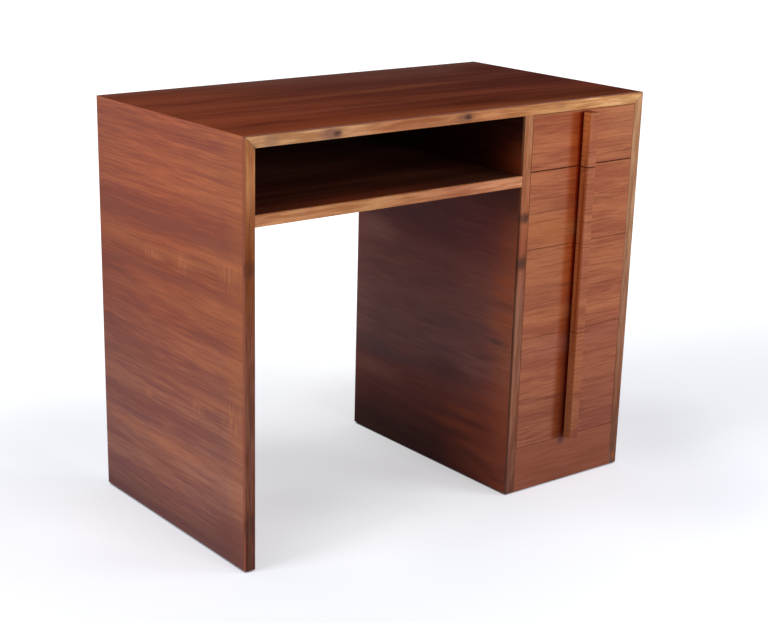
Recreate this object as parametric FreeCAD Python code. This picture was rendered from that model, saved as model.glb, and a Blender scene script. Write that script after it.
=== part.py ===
"""Writing desk: a mitred board case with an open cubby, a kneehole and a pedestal of four drawers.

Lengths are in millimetres. The origin is on the floor under the middle of the desk's
outline, handles included. +Z is up, +X is to the right of a person who faces the
drawers, and the desk faces -Y.
"""

import FreeCAD
import Part
import os

Vector = FreeCAD.Vector

# Overall size
desk_width = 900.0
desk_depth = 485.0
desk_height = 755.0

# Boards, edge strips and feet
board = 20.0
lipping_depth = 6.0
back_thickness = 12.0
glide_height = 3.0
glide_radius = 8.0
glide_edge = 0.8
glide_inset = 35.0
nail_radius = 1.1
nail_length = 14.0

# Layout of the front
pedestal_opening_width = 260.0
cubby_height = 109.0
plinth_height = 89.0
upper_seam = 2.0
lower_seam = 0.8
edge_gap = 0.8
upper_front_height_shares = (0.161, 0.2273, 0.2705)

# Handle strips, each with a finger groove along its left side
handle_width = 21.0
handle_projection = 25.0
handle_easing = 2.0
finger_groove_height = 7.0
finger_groove_depth = 12.0
handle_end_setback = 2.5

# Drawer boxes
front_thickness = 18.0
box_board = 12.0
box_lift = 12.0
box_drop = 12.0
box_rear_gap = 25.0
finger_height = 12.0
bottom_thickness = 6.0
bottom_lift = 8.0
bottom_bite = 5.0
groove_gap = 0.2

# Telescopic rails: a fixed rail, a middle carrier and a drawer rail on each side
rail_thickness = 12.7
rail_height = 45.0
rail_sheet = 1.2
rail_web_gap = 1.6
rail_race_gap = 0.5
rail_setback = 2.0
rail_end_gap = 28.0
rail_lift = 16.5
carrier_inset = 10.0

# Fastenings and their clearances
spline_thickness = 4.0
spline_width = 14.0
spline_offset = 9.0
spline_setback = 15.0
dowel_radius = 4.0
dowel_length = 30.0
dowel_face_depth = 11.5
dowel_end_gap = 0.5
screw_radius = 1.75
pan_radius = 3.5
pan_height = 2.2
sunk_radius = 3.6
sunk_height = 2.4
wafer_radius = 4.0
wafer_height = 1.0
recess_width = 0.9
recess_length = 3.6
recess_depth = 0.8
front_screw_bite = 13.0
front_screw_inset = 18.0
handle_screw_bite = 16.0
back_screw_bite = 18.0
rail_screw_bite = 9.0
fit_gap = 0.1
overrun = 1.0

# Where fastenings sit along a joint, as shares of its length
dowel_row_shares = (0.12, 0.5, 0.88)
plinth_dowel_shares = (0.25, 0.75)
back_screw_shares = (0.1, 0.5, 0.9)
fixed_rail_screw_shares = (0.08, 0.92)
drawer_rail_screw_shares = (0.15, 0.85)
handle_screw_shares = (0.25, 0.75)

# Places that follow from those sizes
x_left = -desk_width / 2
x_right = desk_width / 2
left_inner = x_left + board
right_inner = x_right - board
divider_right = right_inner - pedestal_opening_width
divider_left = divider_right - board
pedestal_mid = (divider_right + right_inner) / 2
front_y = (handle_projection - desk_depth) / 2
back_y = front_y + desk_depth
board_front = front_y + lipping_depth
back_front = back_y - back_thickness
box_front = front_y + front_thickness
box_end = back_front - box_rear_gap
wood_bottom = glide_height
underside = desk_height - board
shelf_top = underside - cubby_height
shelf_bottom = shelf_top - board
plinth_top = wood_bottom + plinth_height
rail_front = box_front + rail_setback
rail_end = box_end - rail_end_gap
box_left = divider_right + rail_thickness
box_right = right_inner - rail_thickness

FRONT = Vector(0, -1, 0)
BACK = Vector(0, 1, 0)
RIGHT = Vector(1, 0, 0)
LEFT = Vector(-1, 0, 0)
UP = Vector(0, 0, 1)


def between(span, share):
    """The place at a share of the way along a span."""
    return span[0] + share * (span[1] - span[0])


def block(x, y, z):
    """A box from three spans."""
    size = [end - start for start, end in (x, y, z)]
    return Part.makeBox(*size, Vector(x[0], y[0], z[0]))


def profile(points, y):
    """A closed outline in X and Z, run along the span y."""
    corners = [Vector(px, y[0], pz) for px, pz in points]
    face = Part.Face(Part.makePolygon(corners + corners[:1]))
    return face.extrude(Vector(0, y[1] - y[0], 0))


def front_spans():
    """The height span of each drawer front, from the top one down."""
    shares = list(upper_front_height_shares)
    shares.append(1 - sum(shares))
    seams = [upper_seam] + [lower_seam] * (len(shares) - 2)
    free = underside - plinth_top - 2 * edge_gap - sum(seams)
    spans = []
    top = underside - edge_gap
    for share, seam in zip(shares, seams + [0]):
        spans.append((top - share * free, top))
        top = top - share * free - seam
    return spans


def box_span(front_span):
    """The height span of the box behind a drawer front."""
    return front_span[0] + box_lift, front_span[1] - box_drop


def rail_mid(front_span):
    """The height of the rails' middle line behind a drawer front."""
    return box_span(front_span)[0] + rail_lift + rail_height / 2


fronts = front_spans()


# Fastenings


def screw(point, direction, length, head, height, sunk=False, gap=0):
    """A screw whose head bears at a point and whose shank runs along a direction.

    A sunk head lies below the point and tapers, another stands above it. With a gap
    it is the hole for that screw.
    """
    shank = Part.makeCylinder(screw_radius + gap, length + gap, Vector(0, 0, 0), UP)
    if sunk:
        top = Part.makeCone(head + gap, screw_radius + gap, height)
        recess_floor = 0
    else:
        top = Part.makeCylinder(head + gap, height, Vector(0, 0, -height))
        recess_floor = -height
    solid = shank.fuse(top)
    if not gap:
        depth = min(recess_depth, height / 2)
        for across, along in ((recess_width, recess_length), (recess_length, recess_width)):
            corner = Vector(-across / 2, -along / 2, recess_floor - overrun)
            solid = solid.cut(Part.makeBox(across, along, depth + overrun, corner))
    solid.Placement = FreeCAD.Placement(point, FreeCAD.Rotation(UP, direction))
    return solid


def dowel(point, direction, gap=0):
    """A dowel that enters a board's face at a point and runs along a direction into it."""
    start = point - direction * (dowel_length - dowel_face_depth)
    if gap:
        start = start - direction * dowel_end_gap
    length = dowel_length + (2 * dowel_end_gap if gap else 0)
    return Part.makeCylinder(dowel_radius + gap, length, start, direction)


def dowels(gap=0):
    """Every dowel of the case, or with a gap their holes."""
    shelf_z = (shelf_bottom + shelf_top) / 2
    base_z = plinth_top - board / 2
    shelf_run = (board_front, back_front)
    base_run = (box_front, back_front)
    divider_run = (board_front, back_y)
    rows = []
    for share in dowel_row_shares:
        shelf_y = between(shelf_run, share)
        base_y = between(base_run, share)
        divider_y = between(divider_run, share)
        rows.append((Vector(left_inner, shelf_y, shelf_z), LEFT))
        rows.append((Vector(divider_left, shelf_y, shelf_z), RIGHT))
        rows.append((Vector(divider_right, base_y, base_z), LEFT))
        rows.append((Vector(right_inner, base_y, base_z), RIGHT))
        rows.append((Vector((divider_left + divider_right) / 2, divider_y, underside), UP))
    for share in plinth_dowel_shares:
        plinth_x = between((divider_right, right_inner), share)
        rows.append((Vector(plinth_x, box_front, base_z), FRONT))
    return [dowel(point, direction, gap) for point, direction in rows]


def splines(gap=0):
    """The two loose tongues in the mitres, or with a gap their grooves."""
    half = (spline_width / 2 + gap) / 2**0.5
    thin = (spline_thickness / 2 + gap) / 2**0.5
    run = (board_front + spline_setback - gap, back_y - spline_setback + gap)
    tongues = []
    for side, inner in ((-1, left_inner), (1, right_inner)):
        mid_x = inner + side * spline_offset / 2**0.5
        mid_z = underside + spline_offset / 2**0.5
        corners = (
            (half + thin, half - thin),
            (half - thin, half + thin),
            (-half - thin, -half + thin),
            (-half + thin, -half - thin),
        )
        outline = [(mid_x - side * across, mid_z + along) for across, along in corners]
        tongues.append(profile(outline, run))
    return tongues


def back_screws(gap=0):
    """Sunk screws that hold the two backs to the shelf and the base, or their holes."""
    rows = []
    for share in back_screw_shares:
        shelf_x = between((left_inner, divider_left), share)
        base_x = between((divider_right, right_inner), share)
        rows.append(Vector(shelf_x, back_y, (shelf_bottom + shelf_top) / 2))
        rows.append(Vector(base_x, back_y, plinth_top - board / 2))
    length = back_thickness + back_screw_bite
    return [screw(point, FRONT, length, sunk_radius, sunk_height, True, gap) for point in rows]


def rail_screws(share_row, wall_gap, outward, front_span, gap=0):
    """The screws of one pair of rails, at a distance from the pedestal's walls."""
    run = (rail_front, rail_end)
    length = rail_sheet + rail_screw_bite
    screws = []
    for wall, inward in ((divider_right, 1), (right_inner, -1)):
        for share in share_row:
            point = Vector(wall + inward * wall_gap, between(run, share), rail_mid(front_span))
            direction = RIGHT * (-inward * outward)
            screws.append(screw(point, direction, length, wafer_radius, wafer_height, gap=gap))
    return screws


def fixed_rail_screws(gap=0):
    """The screws that hold every fixed rail to the pedestal's walls, or their holes."""
    screws = []
    for span in fronts:
        screws += rail_screws(fixed_rail_screw_shares, rail_sheet, 1, span, gap)
    return screws


def drawer_rail_screws(span, gap=0):
    """The screws that hold one drawer's rails to its sides, or their holes."""
    return rail_screws(drawer_rail_screw_shares, rail_thickness - rail_sheet, -1, span, gap)


def front_screws(span, gap=0):
    """The screws through the box front into the drawer front and the handle, or their holes."""
    low, high = box_span(span)
    bearing = box_front + box_board
    corner_length = box_board + front_screw_bite
    handle_length = box_board + front_thickness + handle_screw_bite
    screws = []
    for screw_x in (box_left + box_board + front_screw_inset, box_right - box_board - front_screw_inset):
        for screw_z in (low + front_screw_inset, high - front_screw_inset):
            point = Vector(screw_x, bearing, screw_z)
            screws.append(screw(point, FRONT, corner_length, pan_radius, pan_height, gap=gap))
    stem_x = pedestal_mid + finger_groove_depth / 2
    for share in handle_screw_shares:
        point = Vector(stem_x, bearing, between((low, high), share))
        screws.append(screw(point, FRONT, handle_length, pan_radius, pan_height, gap=gap))
    return screws


def glide(x, y, gap=0):
    """A nail-on floor glide under a board, or with a gap its nail hole."""
    nail = Part.makeCylinder(nail_radius + gap, nail_length + gap, Vector(x, y, wood_bottom), UP)
    if gap:
        return nail
    disc = Part.makeCylinder(glide_radius, glide_height, Vector(x, y, 0), UP)
    rim = [edge for edge in disc.Edges if edge.BoundBox.ZMax < glide_height / 2 and edge.Closed]
    return disc.makeChamfer(glide_edge, rim).fuse(nail)


def glides(gap=0):
    """The six glides, two under each upright board, or their nail holes."""
    feet = []
    for x in (x_left + board / 2, (divider_left + divider_right) / 2, x_right - board / 2):
        for y in (front_y + glide_inset, back_y - glide_inset):
            feet.append(glide(x, y, gap))
    return feet


# Case boards and their edge strips


def top_outline():
    return [(x_left, desk_height), (x_right, desk_height), (right_inner, underside), (left_inner, underside)]


def side_outline(side):
    """A side board's outline, mitred at its top. side is -1 at the left and 1 at the right."""
    outer = side * desk_width / 2
    inner = outer - side * board
    return [(outer, wood_bottom), (inner, wood_bottom), (inner, underside), (outer, desk_height)]


def top_panel():
    shape = profile(top_outline(), (board_front, back_y))
    return shape.cut(dowels(fit_gap) + splines(fit_gap))


def side_panel(side):
    shape = profile(side_outline(side), (board_front, back_y))
    return shape.cut(dowels(fit_gap) + splines(fit_gap) + fixed_rail_screws(fit_gap) + glides(fit_gap))


def divider_panel():
    shape = block((divider_left, divider_right), (board_front, back_y), (wood_bottom, underside))
    return shape.cut(dowels(fit_gap) + fixed_rail_screws(fit_gap) + glides(fit_gap))


def cubby_shelf():
    shape = block((left_inner, divider_left), (board_front, back_front), (shelf_bottom, shelf_top))
    return shape.cut(dowels(fit_gap) + back_screws(fit_gap))


def cubby_back():
    shape = block((left_inner, divider_left), (back_front, back_y), (shelf_bottom, underside))
    return shape.cut(back_screws(fit_gap))


def pedestal_back():
    shape = block((divider_right, right_inner), (back_front, back_y), (wood_bottom, underside))
    return shape.cut(back_screws(fit_gap))


def pedestal_base():
    shape = block((divider_right, right_inner), (box_front, back_front), (plinth_top - board, plinth_top))
    return shape.cut(dowels(fit_gap) + back_screws(fit_gap))


def plinth_board():
    shape = block((divider_right, right_inner), (front_y, box_front), (wood_bottom, plinth_top))
    return shape.cut(dowels(fit_gap))


def top_lipping():
    return profile(top_outline(), (front_y, board_front))


def side_lipping(side):
    return profile(side_outline(side), (front_y, board_front))


def divider_lipping():
    return block((divider_left, divider_right), (front_y, board_front), (wood_bottom, underside))


def shelf_lipping():
    return block((left_inner, divider_left), (front_y, board_front), (shelf_bottom, shelf_top))


# Rails


def channel(wall, inward, web, edge, half, y, mid_z):
    """A sheet channel. web and edge are the distances of its back and its open side from the wall."""
    opens = 1 if edge > web else -1
    outer = sorted((wall + inward * web, wall + inward * edge))
    hollow_start = wall + inward * (web + opens * rail_sheet)
    hollow_end = wall + inward * (edge + opens * overrun)
    inner = sorted((hollow_start, hollow_end))
    solid = block(outer, y, (mid_z - half, mid_z + half))
    inner_half = half - rail_sheet
    inner_y = (y[0] - overrun, y[1] + overrun)
    return solid.cut(block(inner, inner_y, (mid_z - inner_half, mid_z + inner_half)))


def rail_pair(web, edge, half, y, span):
    """The left and the right channel of one kind behind a drawer front."""
    walls = ((divider_right, 1), (right_inner, -1))
    return [channel(wall, inward, web, edge, half, y, rail_mid(span)) for wall, inward in walls]


def fixed_rails():
    """The rails on the pedestal's walls, for all the drawers."""
    edge = rail_thickness - 2 * rail_sheet - rail_web_gap
    rails = []
    for span in fronts:
        rails += rail_pair(0, edge, rail_height / 2, (rail_front, rail_end), span)
    holes = fixed_rail_screws(fit_gap)
    return [rail.cut(holes) for rail in rails]


def carriers(span):
    """The middle members of one drawer's rails."""
    web = rail_sheet + rail_web_gap
    edge = rail_thickness - rail_sheet - rail_web_gap
    half = rail_height / 2 - rail_sheet - rail_race_gap
    return rail_pair(web, edge, half, (rail_front + carrier_inset, rail_end - carrier_inset), span)


def drawer_rails(span):
    """The rails on one drawer's sides."""
    edge = 2 * rail_sheet + 2 * rail_web_gap
    half = rail_height / 2 - 2 * rail_sheet - 2 * rail_race_gap
    rails = rail_pair(rail_thickness, edge, half, (rail_front, rail_end), span)
    holes = drawer_rail_screws(span, fit_gap)
    return [rail.cut(holes) for rail in rails]


# Drawers


def drawer_front(span):
    shape = block((divider_right + edge_gap, right_inner - edge_gap), (front_y, box_front), span)
    return shape.cut(front_screws(span, fit_gap))


def drawer_handle(span, place):
    """One stretch of the handle strip. place is the drawer's number, from 0 at the top."""
    low = span[0] + (handle_end_setback if place == len(fronts) - 1 else 0)
    high = span[1] - (handle_end_setback if place == 0 else 0)
    left = pedestal_mid - handle_width / 2
    right = pedestal_mid + handle_width / 2
    strip = block((left, right), (front_y - handle_projection, front_y), (low, high))
    lip_edges = [edge for edge in strip.Edges if edge.BoundBox.YMax < front_y - finger_groove_height]
    upright = [edge for edge in lip_edges if edge.BoundBox.XLength < handle_easing]
    strip = strip.makeFillet(handle_easing, upright)
    groove_x = (left - overrun, left + finger_groove_depth)
    groove_y = (front_y - finger_groove_height, front_y + overrun)
    groove = block(groove_x, groove_y, (low - overrun, high + overrun))
    return strip.cut([groove] + front_screws(span, fit_gap))


def bottom_edges(gap=0):
    """The X and Y spans of a drawer bottom, or with a gap of its grooves."""
    inset = box_board - bottom_bite - gap
    return (box_left + inset, box_right - inset), (box_front + inset, box_end - inset)


def drawer_bottom(span, gap=0):
    """The bottom that sits in grooves all round, or with a gap the room that it takes."""
    low = box_span(span)[0] + bottom_lift
    x, y = bottom_edges(gap)
    return block(x, y, (low - gap, low + bottom_thickness + gap))


def fingers(span, y, gap=0):
    """The fingers of a drawer box's cross board through both its sides, or with a gap their slots."""
    low, high = box_span(span)
    count = max(1, round((high - low) / (2 * finger_height)))
    step = (high - low) / (2 * count + 1)
    blocks = []
    for x in ((box_left, box_left + box_board), (box_right - box_board, box_right)):
        for number in range(count):
            start = low + (2 * number + 1) * step
            blocks.append(block(x, y, (start - gap, start + step + gap)))
    return blocks


def drawer_side(span, side):
    """One side of a drawer box. side is -1 at the left and 1 at the right."""
    x = (box_left, box_left + box_board) if side < 0 else (box_right - box_board, box_right)
    shape = block(x, (box_front, box_end), box_span(span))
    slots = fingers(span, (box_front, box_front + box_board), fit_gap)
    slots += fingers(span, (box_end - box_board, box_end), fit_gap)
    return shape.cut(slots + [drawer_bottom(span, groove_gap)] + drawer_rail_screws(span, fit_gap))


def drawer_cross_board(span, y):
    """The front or the back of a drawer box, whose ends are fingered into its sides."""
    shape = block((box_left + box_board, box_right - box_board), y, box_span(span))
    shape = shape.fuse(fingers(span, y)).removeSplitter()
    holes = [drawer_bottom(span, groove_gap)] + front_screws(span, fit_gap) + drawer_rail_screws(span, fit_gap)
    return shape.cut(holes)


def save(name, *shapes):
    """Writes one node, which holds one solid or a group of like ones."""
    solids = [solid for shape in shapes for solid in shape.Solids]
    Part.makeCompound(solids).exportStep("parts/" + name + ".step")


def save_case():
    save("top_panel", top_panel())
    save("left_side_panel", side_panel(-1))
    save("right_side_panel", side_panel(1))
    save("divider_panel", divider_panel())
    save("cubby_shelf", cubby_shelf())
    save("cubby_back", cubby_back())
    save("pedestal_back", pedestal_back())
    save("pedestal_base", pedestal_base())
    save("plinth_board", plinth_board())
    save("top_lipping", top_lipping())
    save("left_side_lipping", side_lipping(-1))
    save("right_side_lipping", side_lipping(1))
    save("divider_lipping", divider_lipping())
    save("shelf_lipping", shelf_lipping())
    save("mitre_splines", *splines())
    save("case_dowels", *dowels())
    save("back_screws", *back_screws())
    save("rail_screws", *fixed_rail_screws())
    save("floor_glides", *glides())
    save("fixed_rails", *fixed_rails())


def save_drawer(place, span):
    name = "drawer_" + str(place + 1)
    save(name + "_front", drawer_front(span))
    save(name + "_handle", drawer_handle(span, place))
    save(name + "_left_side", drawer_side(span, -1))
    save(name + "_right_side", drawer_side(span, 1))
    save(name + "_box_front", drawer_cross_board(span, (box_front, box_front + box_board)))
    save(name + "_box_back", drawer_cross_board(span, (box_end - box_board, box_end)))
    save(name + "_bottom", drawer_bottom(span))
    save(name + "_rails", *drawer_rails(span))
    save(name + "_carriers", *carriers(span))
    save(name + "_screws", *front_screws(span), *drawer_rail_screws(span))


os.makedirs("parts", exist_ok=True)
save_case()
for place, span in enumerate(fronts):
    save_drawer(place, span)
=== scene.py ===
"""Finishes for a veneered writing desk, with a small studio to look at it in.

Lengths are in metres, but the desk's planes and the marks in its wood are given in millimetres. The desk
faces -Y, +X is to the right of a person who faces the drawers, and the floor is at z = 0.
"""

import math

import bmesh
import bpy
from bpy.props import FloatProperty, FloatVectorProperty, PointerProperty
from mathutils import Matrix, Vector


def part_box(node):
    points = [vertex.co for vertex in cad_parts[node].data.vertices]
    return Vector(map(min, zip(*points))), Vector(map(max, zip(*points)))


bl_info = {
    "name": "Writing desk finishes",
    "version": (1, 0, 0),
    "blender": (4, 5, 0),
    "location": "View3D > Sidebar > Desk",
    "description": "Dresses a writing desk in veneer, edge strips and hardware, and sets up its studio",
    "category": "Object",
}

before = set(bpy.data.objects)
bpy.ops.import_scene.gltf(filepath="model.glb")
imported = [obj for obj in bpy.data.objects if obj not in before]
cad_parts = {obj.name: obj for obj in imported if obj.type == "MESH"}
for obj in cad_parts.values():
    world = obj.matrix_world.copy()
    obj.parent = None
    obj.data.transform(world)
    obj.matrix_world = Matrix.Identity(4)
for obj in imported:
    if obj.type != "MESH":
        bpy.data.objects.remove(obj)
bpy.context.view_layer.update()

MM = 0.001
AXES = ("X", "Y", "Z")
LOW, HIGH = 0, 1
DRAWERS = (1, 2, 3, 4)


def plane(name, end, axis):
    """Where a piece begins or ends along an axis, in mm."""
    return round(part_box(name)[end][AXES.index(axis)] / MM, 1)


# The desk's planes
FLOOR = 0
LEFT, RIGHT = plane("left_side_panel", LOW, "X"), plane("right_side_panel", HIGH, "X")
CUBBY_LEFT, DIVIDER_LEFT = plane("cubby_shelf", LOW, "X"), plane("divider_panel", LOW, "X")
FRONT, BOARD_FRONT = plane("top_lipping", LOW, "Y"), plane("top_panel", LOW, "Y")
CUBBY_BACK, BACK = plane("cubby_back", LOW, "Y"), plane("top_panel", HIGH, "Y")
TOP, UNDERSIDE = plane("top_panel", HIGH, "Z"), plane("top_panel", LOW, "Z")
SHELF_TOP, SHELF_BOTTOM = plane("cubby_shelf", HIGH, "Z"), plane("cubby_shelf", LOW, "Z")
PLINTH_TOP = plane("plinth_board", HIGH, "Z")

# Sockets of the colour Mix node, which have the same names as its other sockets
MIX_A, MIX_B, MIX_OUT = 6, 7, 2


def linear(code):
    """Turns an sRGB hex value into a linear colour."""
    parts = [int(code[at : at + 2], 16) / 255 for at in (1, 3, 5)]
    curve = [c / 12.92 if c <= 0.04045 else ((c + 0.055) / 1.055) ** 2.4 for c in parts]
    return (*curve, 1.0)


def shade(code, factor):
    """An sRGB hex value as a linear colour, made darker or paler by a factor."""
    return (*(c * factor for c in linear(code)[:3]), 1.0)


def linear_stops(stops):
    """The stops of a colour ramp, with their hex values as linear colours."""
    return [(place, linear(code)) for place, code in stops]


# Nodes


def node(tree, kind, settings=None, sockets=None, stops=None):
    """Adds one node. A socket takes a value, or a link given as (node, output)."""
    made = tree.nodes.new(kind)
    for key, value in (settings or {}).items():
        setattr(made, key, value)
    for key, value in (sockets or {}).items():
        if isinstance(value, tuple) and isinstance(value[0], bpy.types.Node):
            tree.links.new(value[0].outputs[value[1]], made.inputs[key])
        else:
            made.inputs[key].default_value = value
    if stops:
        ramp = made.color_ramp
        while len(ramp.elements) < len(stops):
            ramp.elements.new(1.0)
        for element, (place, colour) in zip(ramp.elements, stops):
            element.position = place
            element.color = colour
    return made


def start_material(name):
    """A new material with its shader and output."""
    made = bpy.data.materials.new(name)
    made.use_nodes = True
    made.node_tree.nodes.clear()
    shader = node(made.node_tree, "ShaderNodeBsdfPrincipled")
    node(made.node_tree, "ShaderNodeOutputMaterial", sockets={"Surface": (shader, "BSDF")})
    return made, made.node_tree, shader


def figure(tree, place, grain, size_mm, detail, low, high):
    """One layer of a wood's figure, from 0 to 1.

    size_mm is its length along the grain and its width across it. low and high are the values of its noise
    that become 0 and 1.
    """
    length, width = size_mm
    scale = [1 / (width * MM)] * 3
    scale[AXES.index(grain)] = 1 / (length * MM)
    stretch = node(tree, "ShaderNodeVectorMath", {"operation": "MULTIPLY"}, {0: place, 1: scale})
    cloud = node(tree, "ShaderNodeTexNoise", {}, {"Vector": (stretch, 0), "Scale": 1.0, "Detail": detail})
    spread = node(
        tree, "ShaderNodeMapRange", {"interpolation_type": "SMOOTHSTEP"},
        {"Value": (cloud, 0), "From Min": low, "From Max": high},
    )
    return spread, 0


def wander(tree, place, grain, across, size_mm, reach_mm):
    """Bends a place across the grain, so that the fibres run in slow waves."""
    wave = figure(tree, place, grain, size_mm, 2.0, 0.2, 0.8)
    centred = node(tree, "ShaderNodeMath", {"operation": "SUBTRACT"}, {0: wave, 1: 0.5})
    reach = [0.0, 0.0, 0.0]
    reach[AXES.index(across)] = reach_mm * MM
    push = node(tree, "ShaderNodeVectorMath", {"operation": "SCALE"}, {0: reach, "Scale": (centred, 0)})
    moved = node(tree, "ShaderNodeVectorMath", {"operation": "ADD"}, {0: place, 1: (push, 0)})
    return moved, 0


def growth_lines(tree, place, grain, across, look):
    """Dark growth lines, from 0 to 1. They darken slowly, end sharply, and come and go along the grain."""
    gap, run = look["line_gap"], look["line_run"]
    drift_size, patch_size = (run * 1.6, gap * 2.5), (run, gap * 1.4)
    drift = figure(tree, place, grain, drift_size, 2.0, 0.2, 0.8)
    split = node(tree, "ShaderNodeSeparateXYZ", {}, {0: place})
    sockets = {0: (split, AXES.index(across)), 1: 1 / (gap * MM)}
    count = node(tree, "ShaderNodeMath", {"operation": "MULTIPLY"}, sockets)
    sockets = {0: drift, 1: look["line_drift"], 2: (count, 0)}
    count = node(tree, "ShaderNodeMath", {"operation": "MULTIPLY_ADD"}, sockets)
    phase = node(tree, "ShaderNodeMath", {"operation": "FRACT"}, {0: (count, 0)})
    edge = node(
        tree, "ShaderNodeMapRange", {"interpolation_type": "SMOOTHSTEP"},
        {"Value": (phase, 0), "From Min": look["line_from"]},
    )
    shown = figure(tree, place, grain, patch_size, 2.0, 0.42, 0.62)
    return node(tree, "ShaderNodeMath", {"operation": "MULTIPLY"}, {0: (edge, 0), 1: shown}), 0


def blend_layers(tree, layers):
    """The weighted sum of several layers. layers are (layer, weight)."""
    total = None
    for layer, weight in layers:
        if total is None:
            total = node(tree, "ShaderNodeMath", {"operation": "MULTIPLY"}, {0: layer, 1: weight}), 0
        else:
            sockets = {0: layer, 1: weight, 2: total}
            total = node(tree, "ShaderNodeMath", {"operation": "MULTIPLY_ADD"}, sockets), 0
    return total


def tint(tree, under, code, layer, strength):
    """Lays a colour over another where a layer shows, as strongly as a number from 0 to 1 says."""
    amount = node(tree, "ShaderNodeMath", {"operation": "MULTIPLY"}, {0: layer, 1: strength}), 0
    sockets = {"Factor": amount, MIX_A: under, MIX_B: linear(code)}
    return node(tree, "ShaderNodeMix", {"data_type": "RGBA", "blend_type": "MIX"}, sockets), MIX_OUT


# Marks: layers that are 1 at one place on the desk and 0 away from it. Their sizes are in mm.


def slice_mark(tree, place, direction, offset, half, soft):
    """A flat slice of space, whose faces fade over a soft width."""
    unit = tuple(Vector(direction).normalized())
    depth = node(tree, "ShaderNodeVectorMath", {"operation": "DOT_PRODUCT"}, {0: place, 1: unit})
    gap = node(tree, "ShaderNodeMath", {"operation": "SUBTRACT"}, {0: (depth, "Value"), 1: offset * MM})
    gap = node(tree, "ShaderNodeMath", {"operation": "ABSOLUTE"}, {0: (gap, 0)})
    sockets = {"From Min": half * MM, "From Max": (half + soft) * MM, "To Min": 1.0, "To Max": 0.0}
    sockets["Value"] = gap, 0
    return node(tree, "ShaderNodeMapRange", {"interpolation_type": "SMOOTHSTEP"}, sockets), 0


def from_centre(tree, place, centre):
    """The way from an oval's centre to a place."""
    centre = tuple(c * MM for c in centre)
    return node(tree, "ShaderNodeVectorMath", {"operation": "SUBTRACT"}, {0: place, 1: centre}), 0


def oval_mark(tree, place, centre, radii, core=0.0):
    """An oval blot that fades from its core to its rim."""
    away = from_centre(tree, place, centre)
    radii = tuple(r * MM for r in radii)
    away = node(tree, "ShaderNodeVectorMath", {"operation": "DIVIDE"}, {0: away, 1: radii})
    reach = node(tree, "ShaderNodeVectorMath", {"operation": "LENGTH"}, {0: (away, 0)})
    sockets = {"Value": (reach, "Value"), "From Min": core, "From Max": 1.0, "To Min": 1.0, "To Max": 0.0}
    return node(tree, "ShaderNodeMapRange", {"interpolation_type": "SMOOTHSTEP"}, sockets), 0


# How far a knot draws the grain at its middle inwards, as a share of the way
KNOT_PULL = 0.75


def round_knots(tree, place, knots):
    """Bends the grain round knots, by gathering each knot's surroundings towards its middle."""
    for centre, radii in knots:
        near = oval_mark(tree, place, centre, radii)
        inwards = node(tree, "ShaderNodeMath", {"operation": "MULTIPLY"}, {0: near, 1: -KNOT_PULL}), 0
        sockets = {0: from_centre(tree, place, centre), "Scale": inwards}
        pull = node(tree, "ShaderNodeVectorMath", {"operation": "SCALE"}, sockets)
        place = node(tree, "ShaderNodeVectorMath", {"operation": "ADD"}, {0: place, 1: (pull, 0)}), 0
    return place


# Just in front of the strips, where the ovals in them have their middle
STRIPS_AHEAD = FRONT - 5

# Lines along which ovals pass through the wood and the floor, as (axis, the ovals' place on it, their half
# length). Those through the sides are so long that they hardly narrow from one side of the desk to the other.
THROUGH_TOP = ("Z", TOP, 300)
THROUGH_SIDES = ("X", 0, 9000)
THROUGH_STRIPS = ("Y", STRIPS_AHEAD, 90)
THROUGH_FRONTS = ("Y", FRONT, 60)
THROUGH_FLOOR = ("Z", FLOOR, 300)


def through(line, middle, reach):
    """The centre and radii of an oval that lies along a line.

    middle and reach are its place and its half size on the other two axes.
    """
    axis, at, half_length = line
    centre, radii = list(middle), list(reach)
    centre.insert(AXES.index(axis), at)
    radii.insert(AXES.index(axis), half_length)
    return tuple(centre), tuple(radii)


def blots(line, rows, code=None, amount=None):
    """Oval marks that lie along a line, from rows of (middle, reach, colour, amount).

    A colour or an amount that is given for all rows is left out of them. A row can end with the size of its
    mark's core, as a share of the mark.
    """
    marks = []
    for middle, reach, *rest in rows:
        colour = code or rest.pop(0)
        strength = amount or rest.pop(0)
        marks.append((oval_mark, (*through(line, middle, reach), *rest), colour, strength))
    return marks


# Woods

# Teak heartwood, sliced into veneer and oiled: its growth lines and open pores stay visible, and the thin oil
# leaves a broad dull sheen with no highlights. The darker tones of the shelf and the backs are painted shade.
TEAK_SIDE = {"dark": "#985852", "mid": "#AC6657", "light": "#C17762", "line": "#713D38", "pore": "#582C21"}
TEAK_DIVIDER = {"dark": "#AD6B53", "mid": "#BB785A", "light": "#C98361", "line": "#7C4634", "pore": "#4A2016"}
TEAK_TOP = {"dark": "#995543", "mid": "#B0644E", "light": "#C17156", "line": "#783E31", "pore": "#4A2016"}
TEAK_FRONT = {"dark": "#98553D", "mid": "#A66245", "light": "#B36E4C", "line": "#602C1E", "pore": "#5A2A1E"}
TEAK_PLINTH = {"dark": "#834B38", "mid": "#8A503C", "light": "#925642", "line": "#6E3A2C", "pore": "#5C2E22"}
TEAK_SHELF = {"dark": "#5B3730", "mid": "#6A443C", "light": "#774F45", "line": "#411F1A", "pore": "#36150D"}
TEAK_BACK = {"dark": "#6A3D31", "mid": "#7E4C3E", "light": "#925E4C", "line": "#3A201A", "pore": "#301A14"}
# Teak sapwood, planed into solid strips and oiled: much paler, with a lively figure and small knots
SAPWOOD = {"dark": "#D0B5A0", "mid": "#E4D6CA", "light": "#FBF3EA", "line": "#9A6E54", "pore": "#7A5848"}
# Birch boards and plywood, sanded and left bare: pale, even and matt
BIRCH = {"dark": "#DDB98F", "mid": "#E8C9A2", "light": "#F0D6B4", "line": "#C79868", "pore": "#C39A6E"}
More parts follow.
